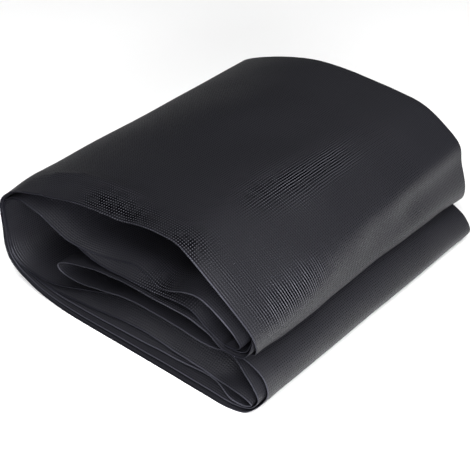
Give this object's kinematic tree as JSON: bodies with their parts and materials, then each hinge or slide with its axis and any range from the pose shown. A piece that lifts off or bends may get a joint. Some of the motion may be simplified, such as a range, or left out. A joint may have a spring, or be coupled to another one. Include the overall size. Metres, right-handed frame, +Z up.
{
  "type": "folded insect netting",
  "caption": "Fine black insect netting: one long sheet wound flat and folded in half into a soft bundle that lies on its broad side.",
  "frame": {"origin": "centre of the bundle's footprint, on the surface that it lies on", "axes": "+Z up, the shortest way through the bundle; +Y towards the back, along the folds; +X towards the side with the two stacked folds"},
  "size_m": [0.327, 0.3676, 0.1484],
  "materials": {
    "black_polyethylene_net": "fine black polyethylene monofilament net, dull with a faint sheen at grazing angles"
  },
  "bodies": {
    "root": {"netting": "black_polyethylene_net"}
  },
  "joints": []
}
